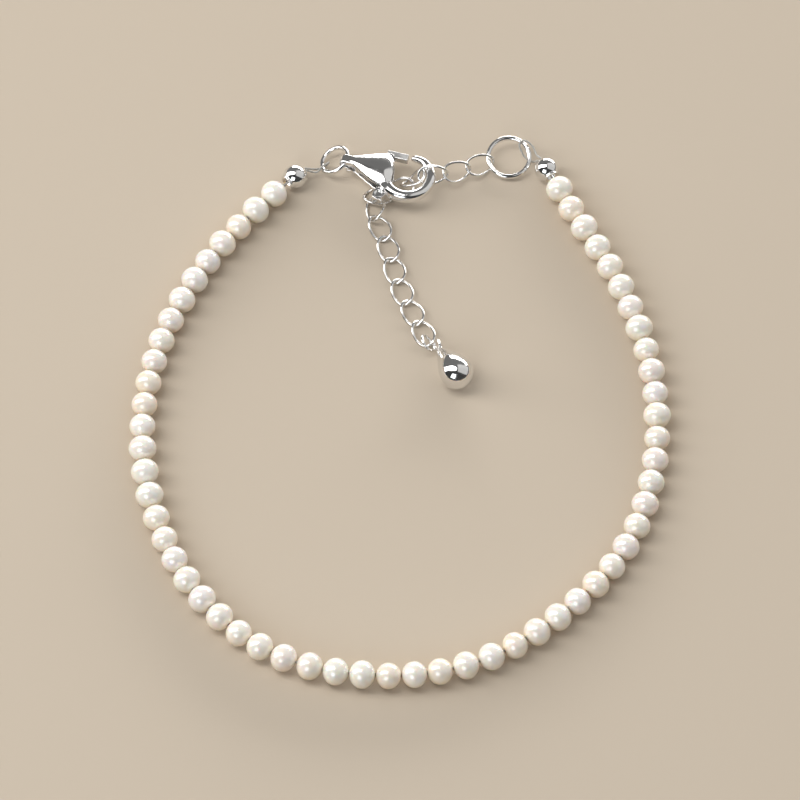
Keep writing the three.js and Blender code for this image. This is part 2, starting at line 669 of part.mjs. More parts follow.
const DROP_RING_HEADING = 286;
const DROP_RING_DISTANCE = 1.56;
const DROP_RING_HEIGHT = 0.89;
const DROP_RING_ROLL = -54;
const dropRingRadius = (DROP_RING_DIAMETER - DROP_RING_WIRE) / 2;
const dropRingPlace = lastOfTail.clone()
  .addScaledVector(direction(DROP_RING_HEADING), DROP_RING_DISTANCE)
  .setZ(DROP_RING_HEIGHT);
const dropRing = addPiece(bracelet, 'drop_ring', roundRing(DROP_RING_DIAMETER, DROP_RING_WIRE), chainSilver);
dropRing.position.copy(dropRingPlace);
dropRing.quaternion.copy(attitude(DROP_RING_HEADING, 0, DROP_RING_ROLL));

// The drop's outline along its axis from the neck to the round end, as shares of length and radius
const DROP_PROFILE = [
  { along: 0, radius: 0.17 }, { along: 0.07, radius: 0.24 }, { along: 0.17, radius: 0.4 },
  { along: 0.3, radius: 0.62 }, { along: 0.42, radius: 0.81 }, { along: 0.55, radius: 0.95 },
  { along: 0.68, radius: 1 }, { along: 0.81, radius: 0.92 }, { along: 0.92, radius: 0.67 },
  { along: 0.98, radius: 0.36 }, { along: 1, radius: 0 },
];

function dropGeometry() {
  const points = DROP_PROFILE.map(({ along, radius }) => (
    new THREE.Vector2((radius * DROP_DIAMETER) / 2, -along * DROP_LENGTH)
  ));
  const lathe = new THREE.LatheGeometry([...points.reverse(), new THREE.Vector2(0, 0)], 14);
  lathe.rotateZ(Math.PI / 2);
  const eyeRadius = (DROP_EYE_DIAMETER - DROP_EYE_WIRE) / 2;
  const pointAt = (angle) => new THREE.Vector3(
    eyeRadius * Math.cos(angle) - eyeRadius, eyeRadius * Math.sin(angle), 0,
  );
  return toGeometry(toSolid(lathe).add(toSolid(wireLoop(pointAt, DROP_EYE_WIRE, 12))));
}

const DROP_HEADING = 298;
const DROP_CLIMB = 9.9;
const DROP_ROLL = 60;
const DROP_SEAT_TOWARDS = 350;
const DROP_SEAT_HEIGHT = 1.14;
const DROP_NECK_SHARE = 0.45;
const dropSeat = dropRingPlace.clone()
  .addScaledVector(direction(DROP_SEAT_TOWARDS), dropRingRadius)
  .setZ(DROP_SEAT_HEIGHT);
const drop = addPiece(bracelet, 'drop', dropGeometry(), silver);
drop.position.copy(dropSeat).addScaledVector(direction(DROP_HEADING), DROP_EYE_DIAMETER * DROP_NECK_SHARE);
drop.quaternion.copy(attitude(DROP_HEADING, DROP_CLIMB, DROP_ROLL));

// The origin is under the middle of the bracelet, on the surface that it lies on
bracelet.updateMatrixWorld(true);
const box = new THREE.Box3().setFromObject(bracelet, true);
bracelet.position.set(-(box.min.x + box.max.x) / 2, -(box.min.y + box.max.y) / 2, -box.min.z);

export default bracelet;
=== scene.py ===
"""Dresses the pearl bracelet: smooth pearls, polished silver findings, thread, light and camera.

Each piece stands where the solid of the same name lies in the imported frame. Lengths in the pieces' classes
are millimetres, and those of the finishes and of the stage are metres, as is every mesh.
"""

from __future__ import annotations

import json
import logging
import math
import random
from dataclasses import dataclass, field
from enum import Enum
from typing import Callable, Sequence

import bpy
import numpy as np
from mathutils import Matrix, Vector


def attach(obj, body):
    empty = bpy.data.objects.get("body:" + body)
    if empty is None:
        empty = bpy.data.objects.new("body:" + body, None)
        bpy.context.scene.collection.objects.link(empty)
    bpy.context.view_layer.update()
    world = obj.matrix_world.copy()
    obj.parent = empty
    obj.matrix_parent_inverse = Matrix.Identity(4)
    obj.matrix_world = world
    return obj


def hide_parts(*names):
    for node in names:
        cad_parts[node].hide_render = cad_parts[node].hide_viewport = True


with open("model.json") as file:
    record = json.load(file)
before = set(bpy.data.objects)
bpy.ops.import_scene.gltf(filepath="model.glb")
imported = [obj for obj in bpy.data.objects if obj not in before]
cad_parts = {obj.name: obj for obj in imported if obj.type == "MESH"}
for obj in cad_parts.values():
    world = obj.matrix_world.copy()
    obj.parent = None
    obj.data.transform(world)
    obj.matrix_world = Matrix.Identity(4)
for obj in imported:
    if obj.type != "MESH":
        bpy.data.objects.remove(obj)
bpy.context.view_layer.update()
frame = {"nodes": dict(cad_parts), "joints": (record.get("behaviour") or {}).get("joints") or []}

LOG = logging.getLogger("pearl_bracelet")
MM = 0.001
DIGITS = 4
CURVE_STEPS = 24
UP = (0.0, 0.0, 1.0)
SIDEWAYS = (0.0, 1.0, 0.0)

Array = np.ndarray
Pair = tuple[float, float]
Row = tuple[float, float, float]
Face = tuple[int, ...]
Surface = tuple[Array, list[Face]]


class Slot(Enum):
    """The record's material slots."""

    PEARL = "pearl"
    SILVER = "silver"
    CHAIN = "chain_silver"
    THREAD = "thread"


class Side(Enum):
    """The two ends of the string."""

    LEFT = "left"
    RIGHT = "right"


class Body(Enum):
    """The bodies of the frame."""

    ROOT = "root"
    LEVER = "lever"


# Reading the frame


def node_points(name: str) -> Array:
    """Gives the separate corners of a solid.

    Args:
        name: The node's name.

    Returns:
        One row of x, y, z in millimetres for each corner, with no corner twice.
    """
    mesh = frame["nodes"][name].data
    points = np.array([vertex.co for vertex in mesh.vertices], float) / MM
    return np.unique(np.round(points, DIGITS), axis=0)


def unit(vector: Array) -> Array:
    """Gives the vector at length one."""
    return vector / np.linalg.norm(vector)


@dataclass(frozen=True)
class Stance:
    """A place with three directions at right angles, in millimetres."""

    centre: Array
    along: Array
    across: Array
    upward: Array

    @classmethod
    def facing(cls, centre: Array, along: Array, upward: Array) -> "Stance":
        """Makes a stance from one direction and a rough second one.

        Args:
            centre: The place.
            along: The first direction, kept as it is.
            upward: Roughly the third direction.

        Returns:
            The stance, right-handed.
        """
        first = unit(along)
        second = unit(np.cross(upward, first))
        return cls(np.asarray(centre, float), first, second, np.cross(first, second))

    @classmethod
    def of_points(cls, points: Array) -> "Stance":
        """Finds the stance of a cloud of corners from its spread.

        Args:
            points: The corners, one a row.

        Returns:
            The stance with its first direction along the widest spread and its third along the least,
            which looks upward.
        """
        centre = points.mean(0)
        _, axes = np.linalg.eigh(np.cov((points - centre).T))
        upward = axes[:, 0] * (1 if axes[2, 0] >= 0 else -1)
        return cls.facing(centre, axes[:, 2], upward)

    def place(self, local: Array) -> Array:
        """Carries points from this stance's own axes into the frame."""
        axes = np.stack([self.along, self.across, self.upward])
        return np.asarray(local, float) @ axes + self.centre

    def inside(self, points: Array) -> Array:
        """Carries points from the frame into this stance's own axes."""
        axes = np.stack([self.along, self.across, self.upward])
        return (np.asarray(points, float) - self.centre) @ axes.T


# Making meshes


def smooth_curve(points: Sequence[Sequence[float]], count: int) -> Array:
    """Runs a smooth curve through a few points.

    Args:
        points: The points to pass through.
        count: How many points the curve gets.

    Returns:
        The curve's points, evenly spaced.
    """
    knots = np.asarray(points, float)
    padded = np.vstack([2 * knots[0] - knots[1], knots, 2 * knots[-1] - knots[-2]])
    fine = []
    for before, start, end, after in zip(padded, padded[1:], padded[2:], padded[3:]):
        t = np.linspace(0, 1, CURVE_STEPS, endpoint=False)[:, None]
        fine.append(
            0.5 * (2 * start + (end - before) * t + (2 * before - 5 * start + 4 * end - after) * t**2
                   + (3 * start - before - 3 * end + after) * t**3)
        )
    curve = np.vstack(fine + [padded[-2:-1]])
    return evenly(curve, count)


def evenly(curve: Array, count: int) -> Array:
    """Spaces points evenly along a curve.

    Args:
        curve: The curve's points.
        count: How many points are wanted.

    Returns:
        The evenly spaced points.
    """
    steps = np.linalg.norm(np.diff(curve, axis=0), axis=1)
    reach = np.concatenate([[0.0], np.cumsum(steps)])
    wanted = np.linspace(0, reach[-1], count)
    return np.stack([np.interp(wanted, reach, curve[:, axis]) for axis in range(curve.shape[1])], axis=1)


def directions_of(path: Array, is_loop: bool) -> Array:
    """Gives the direction of travel at each point of a path.

    Args:
        path: The path's points.
        is_loop: Whether the path closes on itself.

    Returns:
        One direction of length one for each point.
    """
    if is_loop:
        steps = np.roll(path, -1, 0) - np.roll(path, 1, 0)
    else:
        steps = np.gradient(path, axis=0)
    return steps / np.linalg.norm(steps, axis=1)[:, None]


def sweep(
    path: Array, outline: Callable[[int, Array], Array], sides: int, is_loop: bool, upward: Array,
) -> Surface:
    """Draws a section along a path.

    Args:
        path: The path's points.
        outline: Gives the section's points, across and upward, from the station and the angles round it.
        sides: How many points the section has.
        is_loop: Whether the path closes on itself.
        upward: The direction that the section's top keeps to.

    Returns:
        The points and the faces.
    """
    angles = np.arange(sides) * 2 * math.pi / sides
    tangents = directions_of(path, is_loop)
    across = np.cross(upward, tangents)
    across /= np.linalg.norm(across, axis=1)[:, None]
    tops = np.cross(tangents, across)
    rings = []
    for station, (place, side, top) in enumerate(zip(path, across, tops)):
        flat = outline(station, angles)
        rings.append(place + flat[:, :1] * side + flat[:, 1:] * top)
    return skin(np.array(rings), is_loop)


def skin(rings: Array, is_loop: bool) -> Surface:
    """Joins rings of points into one closed surface.

    Args:
        rings: The rings, each with the same number of points.
        is_loop: Whether the last ring joins the first; the ends are capped otherwise.

    Returns:
        The points and the faces.
    """
    count, sides = rings.shape[:2]
    faces: list[Face] = []
    for ring in range(count if is_loop else count - 1):
        near, far = ring * sides, ((ring + 1) % count) * sides
        for side in range(sides):
            after = (side + 1) % sides
            faces.append((near + side, near + after, far + after, far + side))
    if not is_loop:
        faces.append(tuple(range(sides))[::-1])
        faces.append(tuple(range((count - 1) * sides, count * sides)))
    return rings.reshape(-1, 3), faces


def oval(width: float, height: float, squareness: float = 2.0) -> Callable[[int, Array], Array]:
    """Makes an oval section of one size.

    Args:
        width: Its whole width.
        height: Its whole height.
        squareness: 2 for an ellipse, more for flatter sides.

    Returns:
        The outline for sweep.
    """

    def outline(_station: int, angles: Array) -> Array:
        """Gives the same oval at every station."""
        power = 2 / squareness
        cos, sin = np.cos(angles), np.sin(angles)
        return np.stack([
            np.sign(cos) * np.abs(cos) ** power * width / 2,
            np.sign(sin) * np.abs(sin) ** power * height / 2,
        ], axis=1)

    return outline


def lathe(profile: Array, stance: Stance, sides: int) -> Surface:
    """Turns a profile about a stance's first direction.

    Args:
        profile: Rows of distance along and distance from the axis.
        stance: Where it stands.
        sides: How many steps go round.

    Returns:
        The points in the frame and the faces, capped where the profile ends.
    """
    angles = np.arange(sides) * 2 * math.pi / sides
    rings = [
        np.stack([np.full(sides, along), radius * np.cos(angles), radius * np.sin(angles)], axis=1)
        for along, radius in profile
    ]
    points, faces = skin(np.array(rings), False)
    return stance.place(points), faces


def joined(parts: Sequence[Surface]) -> Surface:
    """Puts several surfaces into one list of points and faces.

    Args:
        parts: The surfaces.

    Returns:
        All their points and faces.
    """
    points: list[Array] = []
    faces: list[Face] = []
    start = 0
    for part_points, part_faces in parts:
        points.append(part_points)
        faces.extend(tuple(start + corner for corner in face) for face in part_faces)
        start += len(part_points)
    return np.vstack(points), faces


def add_object(name: str, surface: Surface) -> bpy.types.Object:
    """Makes a smooth-shaded object.

    Args:
        name: The piece's name.
        surface: Its points in millimetres and its faces.

    Returns:
        The object, in the scene.
    """
    points, faces = surface
    mesh = bpy.data.meshes.new(name)
    mesh.from_pydata((points * MM).tolist(), [], faces)
    mesh.validate()
    mesh.polygons.foreach_set("use_smooth", [True] * len(mesh.polygons))
    mesh.update()
    piece = bpy.data.objects.new(name, mesh)
    bpy.context.scene.collection.objects.link(piece)
    return piece


def melt(piece: bpy.types.Object, grain: float, passes: int, softness: float = 0.5) -> None:
    """Runs the overlapping forms of a piece together as one soft-edged casting.

    Args:
        piece: The piece, whose mesh is replaced.
        grain: The new mesh's spacing in millimetres.
        passes: How often it is smoothed.
        softness: How far one smoothing goes, from 0 to 1.
    """
    remesh = piece.modifiers.new("cast", "REMESH")
    remesh.mode = "VOXEL"
    remesh.voxel_size = grain * MM
    remesh.use_smooth_shade = True
    polish = piece.modifiers.new("polish", "SMOOTH")
    polish.factor = softness
    polish.iterations = passes
    bpy.context.view_layer.update()
    graph = bpy.context.evaluated_depsgraph_get()
    result = bpy.data.meshes.new_from_object(piece.evaluated_get(graph))
    piece.modifiers.clear()
    piece.data = result


def dress(
    piece: bpy.types.Object, finish: bpy.types.Material, body: Body, nodes: Sequence[str],
) -> None:
    """Gives a piece its finish, its body and the solids that it stands for.

    Args:
        piece: The piece.
        finish: Its material.
        body: The body that carries it.
        nodes: The solids that it replaces.
    """
    piece.data.materials.clear()
    piece.data.materials.append(finish)
    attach(piece, body.value)
    if nodes:
        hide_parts(*nodes)
    LOG.info("%s: %d faces", piece.name, len(piece.data.polygons))


# Finishes


class Nodes:
    """A short hand for building one material's nodes."""

    def __init__(self, name: str) -> None:
        """Starts a material that has only its shader and output."""
        self.material = bpy.data.materials.new(name)
        self.material.use_nodes = True
        self.tree = self.material.node_tree
        self.shader = self.tree.nodes["Principled BSDF"]
        self.place = self.tree.nodes.new("ShaderNodeTexCoord")

    def add(self, kind: str, **settings: object) -> bpy.types.Node:
        """Adds a node.

        Args:
            kind: The node's type.
            settings: Its properties, or its inputs by name.

        Returns:
            The node.
        """
        node = self.tree.nodes.new(kind)
        for name, value in settings.items():
            if hasattr(node, name):
                setattr(node, name, value)
            else:
                node.inputs[name.replace("_", " ").title()].default_value = value
        return node

    def link(self, source: bpy.types.NodeSocket, target: bpy.types.NodeSocket) -> None:
        """Joins two sockets."""
        self.tree.links.new(source, target)

    def set(self, **values: object) -> None:
        """Sets the shader's own sockets by name."""
        for name, value in values.items():
            self.shader.inputs[name.replace("_", " ")].default_value = value

    def noise(self, scale: float, detail: float, distortion: float = 0.0) -> bpy.types.NodeSocket:
        """Adds noise that stays with the piece.

        Args:
            scale: How fine it is.
            detail: How many finer layers it has.
            distortion: How far it is stirred.

        Returns:
            Its strength.
        """
        node = self.add("ShaderNodeTexNoise", scale=scale, detail=detail, distortion=distortion)
        self.link(self.place.outputs["Object"], node.inputs["Vector"])
        return node.outputs["Fac"]

    def bump(self, height: bpy.types.NodeSocket, strength: float, distance: float) -> None:
        """Raises the surface.

        Args:
            height: What it reads.
            strength: How much of it shows, from 0 to 1.
            distance: How high it goes, in metres.
        """
        node = self.add("ShaderNodeBump", strength=strength, distance=distance)
        self.link(height, node.inputs["Height"])
        self.link(node.outputs["Normal"], self.shader.inputs["Normal"])

    def ramp(
        self, source: bpy.types.NodeSocket, stops: Sequence[float], colours: Sequence[Row],
    ) -> bpy.types.NodeSocket:
        """Adds a colour ramp.

        Args:
            source: What it reads.
            stops: Two places or more from 0 to 1.
            colours: The colour at each place.

        Returns:
            Its colour.
        """
        ramp = self.tree.nodes.new("ShaderNodeValToRGB")
        elements = ramp.color_ramp.elements
        while len(elements) < len(stops):
            elements.new(0.5)
        for element, stop, colour in zip(elements, stops, colours):
            element.position = stop
            element.color = (*colour, 1)
        self.link(source, ramp.inputs["Fac"])
        return ramp.outputs["Color"]


def grey(value: float) -> Row:
    """Gives a neutral colour."""
    return (value, value, value)


def shaded(colour: Row, share: float) -> Row:
    """Gives a share of a colour's light."""
    red, green, blue = colour
    return (share * red, share * green, share * blue)


@dataclass(frozen=True)
class PolishedSilver:
    """Bright silver with faint handling marks and a slow change of polish."""

    name: str
    colour: Row = (0.87, 0.865, 0.86)
    shine: float = 0.07
    dullest: float = 0.16
    marks: float = 0.05
    mark_depth: float = 0.00001
    patch: float = 700.0
    grain: float = 9000.0
    tarnish: float = 0.95
    tone_stops: Pair = (0.35, 0.65)
    polish_stops: Pair = (0.4, 0.62)

    def material(self) -> bpy.types.Material:
        """Builds the material."""
        nodes = Nodes(self.name)
        nodes.set(Metallic=1.0, IOR=1.45)
        patches = nodes.noise(self.patch, 3.0)
        tone = nodes.ramp(patches, self.tone_stops, (shaded(self.colour, self.tarnish), self.colour))
        nodes.link(tone, nodes.shader.inputs["Base Color"])
        polish = nodes.ramp(patches, self.polish_stops, (grey(self.dullest), grey(self.shine)))
        nodes.link(polish, nodes.shader.inputs["Roughness"])
        nodes.bump(nodes.noise(self.grain, 2.0), self.marks, self.mark_depth)
        return nodes.material


@dataclass(frozen=True)
class Nacre:
    """Cream nacre with a soft deep glow, a glossy skin, overtones that differ from pearl to pearl and a
    painted warm bounce light on each pearl's lower side.
    """

    name: str = "nacre"
    colour: Row = (0.87, 0.835, 0.775)
    shade: Row = (0.85, 0.79, 0.69)
    light: Row = (0.89, 0.87, 0.84)
    cloud_stops: Row = (0.3, 0.5, 0.8)
    cloud: float = 900.0
    stir: float = 0.6
    glow: float = 0.3
    glow_reach: Row = (0.0007, 0.0004, 0.0002)
    ripple: float = 2600.0
    ripple_strength: float = 0.08
    ripple_height: float = 0.00002

    MIX_FIRST = 6
    MIX_SECOND = 7
    MIX_RESULT = 2

    def material(self) -> bpy.types.Material:
        """Builds the material."""
        nodes = Nodes(self.name)
        nodes.set(Roughness=0.34, IOR=1.66, Specular_IOR_Level=0.8)
        nodes.set(Coat_Weight=1.0, Coat_Roughness=0.13, Coat_IOR=1.8)
        nodes.set(Subsurface_Weight=self.glow, Subsurface_Radius=self.glow_reach, Subsurface_Scale=1.0)
        clouds = nodes.noise(self.cloud, 4.0, self.stir)
        body = nodes.ramp(clouds, self.cloud_stops, (self.shade, self.colour, self.light))
        # The point colour holds each pearl's overtone and the painted warm bounce light on its lower side.
        overtone_and_painted_bounce = nodes.add("ShaderNodeAttribute", attribute_name=PearlString.OVERTONE_AND_BOUNCE)
        tint = nodes.add("ShaderNodeMix", data_type="RGBA", blend_type="MULTIPLY")
        tint.inputs["Factor"].default_value = 1.0
        nodes.link(body, tint.inputs[self.MIX_FIRST])
        nodes.link(overtone_and_painted_bounce.outputs["Color"], tint.inputs[self.MIX_SECOND])
        nodes.link(tint.outputs[self.MIX_RESULT], nodes.shader.inputs["Base Color"])
        nodes.bump(nodes.noise(self.ripple, 3.0), self.ripple_strength, self.ripple_height)
        return nodes.material


@dataclass(frozen=True)
class Silk:
    """A pale thread twisted from fine fibres."""

    name: str = "silk_thread"
    colour: Row = (0.5, 0.49, 0.46)
    shadow: Row = (0.3, 0.29, 0.27)
    fibre: float = 2200.0
    fuzz: float = 1.5
    tone_stops: Pair = (0.1, 0.7)
    fibre_strength: float = 0.5
    fibre_height: float = 0.00003

    def material(self) -> bpy.types.Material:
        """Builds the material."""
        nodes = Nodes(self.name)
        nodes.set(Roughness=0.5, Sheen_Weight=0.3, Sheen_Roughness=0.4)
        plies = nodes.add("ShaderNodeTexWave", scale=self.fibre, distortion=self.fuzz, detail=2.0)
        nodes.link(nodes.place.outputs["Object"], plies.inputs["Vector"])
        tone = nodes.ramp(plies.outputs["Fac"], self.tone_stops, (self.shadow, self.colour))
        nodes.link(tone, nodes.shader.inputs["Base Color"])
        nodes.bump(plies.outputs["Fac"], self.fibre_strength, self.fibre_height)
        return nodes.material


@dataclass(frozen=True)
class PaleFloor:
    """The plain pale surface that the bracelet lies on."""

    name: str = "pale_floor"
    colour: Row = (0.52, 0.447, 0.36)
    dimmer: float = 0.985
    patch: float = 6.0
    tone_stops: Pair = (0.3, 0.7)

    def material(self) -> bpy.types.Material:
        """Builds the material."""
        nodes = Nodes(self.name)
        nodes.set(Roughness=0.75, Specular_IOR_Level=0.2)
        tones = (shaded(self.colour, self.dimmer), self.colour)
        tone = nodes.ramp(nodes.noise(self.patch, 2.0), self.tone_stops, tones)
        nodes.link(tone, nodes.shader.inputs["Base Color"])
        return nodes.material


@dataclass(frozen=True)
class Palette:
    """The finishes of all the pieces, each built once."""

    nacre: bpy.types.Material
    silver: bpy.types.Material
    satin: bpy.types.Material
    chain: bpy.types.Material
    silk: bpy.types.Material
    floor: bpy.types.Material

    @classmethod
    def built(cls) -> "Palette":
        """Builds every finish."""
        return cls(
            nacre=Nacre().material(),
            silver=PolishedSilver("polished_silver").material(),
            satin=PolishedSilver(
                "satin_silver", (0.84, 0.835, 0.83), shine=0.3, dullest=0.42, marks=0.2,
            ).material(),
            chain=PolishedSilver(
                "silver_wire", (0.82, 0.815, 0.805), shine=0.13, dullest=0.22, marks=0.08,
            ).material(),
            silk=Silk().material(),
            floor=PaleFloor().material(),
        )


# Pieces


@dataclass
class PearlString:
    """The pearls of one half of the string, on their thread."""

    side: Side
    seed: int = 11
    sides: int = 40
    rings: int = 26
    hole: float = 0.17
    thread: float = 0.24
    wobble: float = 0.012
    lobe_count: int = 3
    lean: float = 4.0
    full_turn: float = 6.3
    trim: float = 0.9975
    pitch: float = 2.62
    length_share: Pair = (0.93, 0.97)
    throat: Pair = (0.36, 0.9)
    overtones: tuple[Row, ...] = (
        (1.0, 1.0, 1.0), (1.0, 0.985, 0.96), (1.0, 0.965, 0.97), (0.975, 0.97, 1.0), (0.985, 1.0, 0.99),
        (1.0, 0.96, 0.9), (1.0, 0.99, 0.96),
    )
    # Painted light: a warm bounce glow painted on each pearl's lower side. These give its colour, its rise
    # and base against depth below the centre, its power and its random share.
    painted_bounce_tint: Row = (0.98, 0.77, 0.46)
    painted_bounce_rise: Pair = (0.75, 0.55)
    painted_bounce_power: float = 1.5
    painted_bounce_share: Pair = (0.7, 1.0)
    centres: Array = field(init=False)
    widths: Array = field(init=False)

    OVERTONE_AND_BOUNCE = "overtone_and_painted_bounce"
    RESTING = 0.06
    SAME_SPOT = 0.05
    CORE_STEPS = 8
    CORE_SIDES = 10

    def __post_init__(self) -> None:
        """Finds each pearl from the point it rests on and the point above that."""
        points = node_points(self.node)
        resting = points[points[:, 2] < self.RESTING]
        order = np.argsort(np.arctan2(resting[:, 0], -resting[:, 1]))
        resting = resting[order]
        beside = [np.linalg.norm(points[:, :2] - spot[:2], axis=1) < self.SAME_SPOT for spot in resting]
        tops = [points[spots, 2].max() for spots in beside]
        self.widths = np.array(tops) - resting[:, 2]
        self.centres = np.column_stack([resting[:, :2], resting[:, 2] + self.widths / 2])

    @property
    def node(self) -> str:
        """The solid that this half replaces."""
        return f"pearls_{self.side.value}"

    def headings(self) -> Array:
        """Gives the direction of the thread at each pearl."""
        return directions_of(self.centres, False)

    def pearl(self, number: int, chance: random.Random) -> Surface:
        """Makes one pearl.

        Args:
            number: Its place along the half.
            chance: Where its small unevenness comes from.

        Returns:
            Its surface.
        """
        heading = self.headings()[number]
        lean = math.radians(chance.uniform(-self.lean, self.lean))
        turned = np.array([
            heading[0] * math.cos(lean) - heading[1] * math.sin(lean),
            heading[0] * math.sin(lean) + heading[1] * math.cos(lean), heading[2],
        ])
        stance = Stance.facing(self.centres[number], turned, np.array(UP))
        width = self.widths[number]
        length = min(width * chance.uniform(*self.length_share), self.pitch)
        width *= self.trim
        first = math.asin(self.hole / (width / 2))
        polar = np.linspace(first, math.pi - first, self.rings)
        around = np.arange(self.sides) * 2 * math.pi / self.sides
        lobes = [
            (chance.uniform(0, self.full_turn), chance.uniform(0, self.full_turn), chance.choice((2, 3)))
            for _ in range(self.lobe_count)
        ]
        swell = self.wobble / self.lobe_count
        depth, narrowing = self.throat
        inner = self.circle(around, self.hole * narrowing)
        rings = [np.stack([np.full(self.sides, length * depth), *inner], axis=1)]
        for angle in polar:
            bulge = sum(np.sin(count * around + a) * math.sin(2 * angle + b) for a, b, count in lobes)
            radius = width / 2 * math.sin(angle) * (1 - swell + swell * bulge / self.lobe_count)
            along = np.full(self.sides, math.cos(angle) * length / 2)
            rings.append(np.stack([along, *self.circle(around, radius)], axis=1))
        rings.append(np.stack([np.full(self.sides, -length * depth), *inner], axis=1))
        points, faces = skin(np.array(rings), False)
        return stance.place(points), faces

    @staticmethod
    def circle(around: Array, radius: float | Array) -> tuple[Array, Array]:
        """Gives the two coordinates of a circle's points."""
        return radius * np.cos(around), radius * np.sin(around)

    def core(self, end_bead: Array, middle: Array) -> Surface:
        """Makes the thread through the pearls.

        Args:
            end_bead: The middle of the silver bead at the end.
            middle: The place where the two halves meet.

        Returns:
            Its surface.
        """
        first, last = (end_bead, middle) if self.side is Side.LEFT else (middle, end_bead)
        knots = [first, *self.centres, last]
        path = smooth_curve(knots, self.CORE_STEPS * len(knots))
        return sweep(path, oval(self.thread, self.thread), self.CORE_SIDES, False, np.array(UP))

    def build(self, palette: Palette, end_bead: Array, middle: Array) -> None:
        """Builds and dresses the pearls and their thread.

        Args:
            palette: The finishes.
            end_bead: The middle of the silver bead at the end.
            middle: The place where the two halves meet.
        """
        chance = random.Random(self.seed if self.side is Side.LEFT else self.seed + 1)
        slope, base = self.painted_bounce_rise
        surfaces: list[Surface] = []
        colours: list[Array] = []
        for number in range(len(self.centres)):
            surface = self.pearl(number, chance)
            surfaces.append(surface)
            tone = np.array(chance.choice(self.overtones))
            # Painted bounce light: each pearl's lower side is tinted warm cream, more the lower the point
            # lies, and stored in the point colour with the overtone.
            depth = (self.centres[number][2] - surface[0][:, 2]) / (self.widths[number] / 2)
            painted_bounce = np.clip(slope * depth + base, 0, 1)[:, None] ** self.painted_bounce_power
            painted_bounce = painted_bounce * chance.uniform(*self.painted_bounce_share)
            colours.extend(tone * (1 - painted_bounce * (1 - np.array(self.painted_bounce_tint))))
        piece = add_object(self.node, joined(surfaces))
        layer = piece.data.color_attributes.new(self.OVERTONE_AND_BOUNCE, "FLOAT_COLOR", "POINT")
        flat = np.column_stack([np.array(colours), np.ones(len(colours))]).astype(np.float32)
        layer.data.foreach_set("color", flat.ravel())
        dress(piece, palette.nacre, Body.ROOT, [self.node])
        core = add_object(f"thread_core_{self.side.value}", self.core(end_bead, middle))
        dress(core, palette.silk, Body.ROOT, [])


@dataclass
class SilverBead:
    """A drilled silver bead with a collar on the pearl side."""

    side: Side
    diameter: float = 2.5
    bore: float = 0.84
    collar: float = 1.66
    collar_length: float = 0.22
    rim: float = 0.06
    edge: float = 0.01
    mouth_round: float = 0.35
    reach: float = 0.3
    ball_steps: int = 26
    sides: int = 56
    # Rows of distance inward from the lip and distance past the collar's radius, as a share of the rim
    lip_rows: tuple[Pair, ...] = ((-0.04, -0.5), (-0.08, -0.2))
    # Rows of distance inward from the foot and distance past the collar's radius
    collar_rows: tuple[Pair, ...] = ((0.05, 0.0), (0.0, -0.05))
    # Rows of distance inward from the foot and distance past the bore's radius
    recess_rows: tuple[Pair, ...] = ((0.0, 0.3), (0.04, 0.24), (0.12, 0.05), (0.16, 0.0))

    @property
    def node(self) -> str:
        """The solid that this bead replaces."""
        return f"bead_{self.side.value}"

    def stance(self) -> Stance:
        """Finds where the bead stands: along its bore, towards the thread loop."""
        points = node_points(self.node)
        centre = (points.max(0) + points.min(0)) / 2
        values, axes = np.linalg.eigh(np.cov((points - centre).T))
        odd = 0 if abs(values[1] - values[0]) > abs(values[2] - values[1]) else 2
        bore = axes[:, odd]
        loop = node_points(f"thread_loop_{self.side.value}").mean(0)
        bore = bore * (1 if np.dot(bore, loop - centre) > 0 else -1)
        return Stance.facing(centre, bore, np.array(UP))

    def profile(self) -> Array:
        """Gives the bead's outline from inside the bore's mouth round to the collar and back in."""
        radius, bore, collar = self.diameter / 2, self.bore / 2, self.collar / 2
        start = math.asin((bore + self.rim) / radius)
        end = math.pi - math.asin((collar - self.rim) / radius)
        mouth, lip = radius * math.cos(start), radius * math.cos(end)
        foot = lip - self.collar_length
        rows = [(self.reach * radius, bore), (mouth - self.rim, bore)]
        rows.append((mouth - self.edge, bore + self.rim * self.mouth_round))
        for angle in np.linspace(start, end, self.ball_steps):
            rows.append((radius * math.cos(angle), radius * math.sin(angle)))
        rows += [(lip + inward, collar + share * self.rim) for inward, share in self.lip_rows]
        rows += [(foot + inward, collar + outward) for inward, outward in self.collar_rows]
        rows += [(foot + inward, bore + outward) for inward, outward in self.recess_rows]
        rows.append((-self.reach * radius, bore))
        return np.array(rows)

    def build(self, palette: Palette) -> Array:
        """Builds and dresses the bead.

        Args:
            palette: The finishes.

        Returns:
            The bead's middle.
        """
        stance = self.stance()
        piece = add_object(self.node, lathe(self.profile(), stance, self.sides))
        dress(piece, palette.silver, Body.ROOT, [self.node])
        return stance.centre


